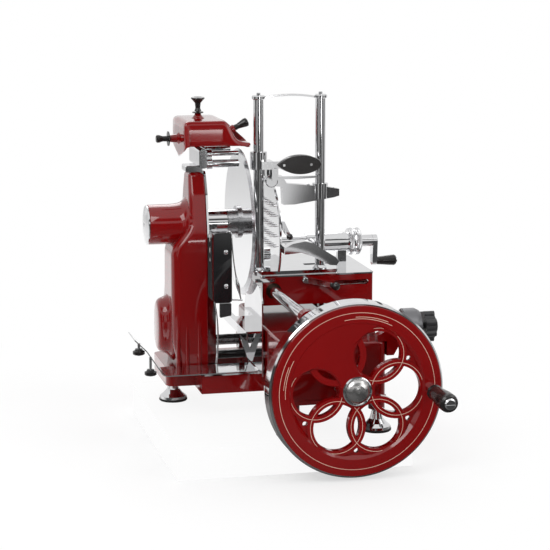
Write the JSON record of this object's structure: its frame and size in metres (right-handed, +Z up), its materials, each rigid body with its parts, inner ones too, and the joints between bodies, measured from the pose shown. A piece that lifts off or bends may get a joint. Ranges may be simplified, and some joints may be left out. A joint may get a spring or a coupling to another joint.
{
  "type": "hand crank meat slicer",
  "caption": "Hand crank meat slicer: spoked flywheel, round blade, sliding table with press and feed crank, sharpener, tray.",
  "frame": {"origin": "centre of the underside of the foot below the gear case", "axes": "+X along the blade shaft from the gear case to the feed crank, +Y along the flywheel shaft away from the flywheel, +Z up"},
  "size_m": [0.576, 0.7766, 0.692],
  "materials": {
    "red_enamel": "gloss enamel",
    "chrome": "mirror",
    "mirror_steel": "mirror",
    "steel": "ground",
    "bronze": "satin",
    "rubber": "matte",
    "black_enamel": "gloss",
    "bakelite": "gloss",
    "dark_knob": "satin",
    "cast_grey": "satin",
    "abrasive": "matte"
  },
  "bodies": {
    "frame": {"base_casting": "red_enamel", "foot_bells": "chrome", "foot_pads": "rubber", "guide_ways": "chrome", "rod_brackets": "red_enamel", "gear_case": "red_enamel", "case_plate": "chrome", "bearing_tube": "chrome", "shaft_bushes": "bronze", "drive_chain": "steel", "deflector_panel": "black_enamel", "guard_plate": "chrome", "side_rail": "chrome", "tray": "chrome", "dial_drum": "cast_grey", "sharpener_bracket": "chrome"},
    "flywheel": {"flywheel_casting": "red_enamel", "rim_band": "chrome", "hub_cap": "chrome", "main_shaft": "steel", "handle_stem": "chrome"},
    "handle_grip": {"handle_grip": "bakelite"},
    "cross_shaft": {"cross_shaft": "steel"},
    "connecting_rod": {"connecting_rod": "steel"},
    "blade": {"blade": "mirror_steel", "blade_shaft": "steel", "blade_cover": "chrome"},
    "carriage": {"carriage_box": "red_enamel", "rod_bushes": "bronze", "lower_table": "chrome", "feed_housing": "chrome"},
    "clamp_lever": {"clamp_lever": "chrome", "clamp_ball": "bakelite"},
    "feed_table": {"upper_table": "chrome", "columns": "chrome", "column_caps": "chrome", "claw_plate": "chrome", "lower_arm": "chrome", "feed_tube": "chrome"},
    "claw_lever": {"claw_lever": "chrome", "claw_ball": "bakelite"},
    "feed_crank": {"feed_crank": "chrome"},
    "feed_grip": {"feed_grip": "bakelite"},
    "press": {"press_arm": "chrome", "handle_core": "chrome", "handle_scales": "bakelite"},
    "squeeze_lever": {"squeeze_lever": "chrome"},
    "thickness_knob": {"thickness_knob": "dark_knob"},
    "sharpener_hood": {"sharpener_hood": "red_enamel", "hood_knob": "bakelite"},
    "left_stone": {"left_stone_knob": "bakelite", "left_stone": "abrasive"},
    "right_stone": {"right_stone_knob": "bakelite", "right_stone": "abrasive"},
    "tray_knob_upper": {"tray_knob_upper": "bakelite"},
    "tray_knob_lower": {"tray_knob_lower": "bakelite"}
  },
  "joints": [
    {"name": "flywheel_spin", "type": "hinge", "parent": "frame", "child": "flywheel", "pos_m": [0.2685, -0.453, 0.111], "axis": [0, 1, 0], "continuous": true},
    {"name": "handle_grip_spin", "type": "hinge", "parent": "flywheel", "child": "handle_grip", "pos_m": [0.41281, -0.514, 0.10596], "axis": [0, 1, 0], "continuous": true},
    {"name": "cross_shaft_spin", "type": "hinge", "parent": "frame", "child": "cross_shaft", "pos_m": [0.2, 0.04, 0.111], "axis": [1, 0, 0], "continuous": true},
    {"name": "connecting_rod_pivot", "type": "hinge", "parent": "cross_shaft", "child": "connecting_rod", "pos_m": [0.315, 0.04, 0.149], "axis": [1, 0, 0], "continuous": true},
    {"name": "blade_spin", "type": "hinge", "parent": "frame", "child": "blade", "pos_m": [0.14, 0, 0.367], "axis": [1, 0, 0], "continuous": true},
    {"name": "carriage_slide", "type": "slide", "parent": "frame", "child": "carriage", "axis": [0, 1, 0], "range_m": [-0.2, 0.06]},
    {"name": "clamp_lever_turn", "type": "hinge", "parent": "carriage", "child": "clamp_lever", "pos_m": [0.2576, -0.088, 0.257], "axis": [0, 1, 0], "range_deg": [0, 30]},
    {"name": "feed_slide", "type": "slide", "parent": "carriage", "child": "feed_table", "axis": [1, 0, 0], "range_m": [0, 0.068]},
    {"name": "feed_crank_turn", "type": "hinge", "parent": "carriage", "child": "feed_crank", "pos_m": [0.423, -0.015, 0.32], "axis": [1, 0, 0], "range_deg": [0, 4100]},
    {"name": "feed_grip_spin", "type": "hinge", "parent": "feed_crank", "child": "feed_grip", "pos_m": [0.449, -0.015, 0.277], "axis": [1, 0, 0], "continuous": true},
    {"name": "claw_lever_turn", "type": "hinge", "parent": "feed_table", "child": "claw_lever", "pos_m": [0.209, -0.03, 0.395], "axis": [1, 0, 0], "range_deg": [0, 8]},
    {"name": "press_slide", "type": "slide", "parent": "feed_table", "child": "press", "axis": [0, 0, 1], "range_m": [0, 0.1]},
    {"name": "squeeze_lever_pull", "type": "hinge", "parent": "press", "child": "squeeze_lever", "pos_m": [0.196, -0.084, 0.467], "axis": [0, 1, 0], "range_deg": [-2, 0], "stiffness_Nm_per_rad": 0.4},
    {"name": "thickness_knob_turn", "type": "hinge", "parent": "frame", "child": "thickness_knob", "pos_m": [0.44, -0.33, 0.203], "axis": [1, 0, 0], "range_deg": [0, 340]},
    {"name": "hood_lift", "type": "slide", "parent": "frame", "child": "sharpener_hood", "axis": [0, 0, 1], "range_m": [0, 0.035]},
    {"name": "left_stone_spin", "type": "hinge", "parent": "sharpener_hood", "child": "left_stone", "pos_m": [0, 0, 0.541], "axis": [1, 0, 0], "continuous": true},
    {"name": "right_stone_spin", "type": "hinge", "parent": "sharpener_hood", "child": "right_stone", "pos_m": [0.108, -0.04, 0.557], "axis": [0.9063, 0, 0.4226], "continuous": true},
    {"name": "tray_knob_upper_turn", "type": "hinge", "parent": "frame", "child": "tray_knob_upper", "pos_m": [-0.092, -0.136, 0.136], "axis": [0, 0, 1], "continuous": true},
    {"name": "tray_knob_lower_turn", "type": "hinge", "parent": "frame", "child": "tray_knob_lower", "pos_m": [-0.069, -0.136, 0.093], "axis": [0, 0, 1], "continuous": true}
  ],
  "couplings": [
    {"joint": "cross_shaft_spin", "follows": "flywheel_spin", "ratio": -1},
    {"joint": "connecting_rod_pivot", "follows": "flywheel_spin", "ratio": 1},
    {"joint": "blade_spin", "follows": "flywheel_spin", "ratio": -3},
    {"joint": "feed_crank_turn", "follows": "feed_slide", "rad_per_m": 1047.2}
  ]
}
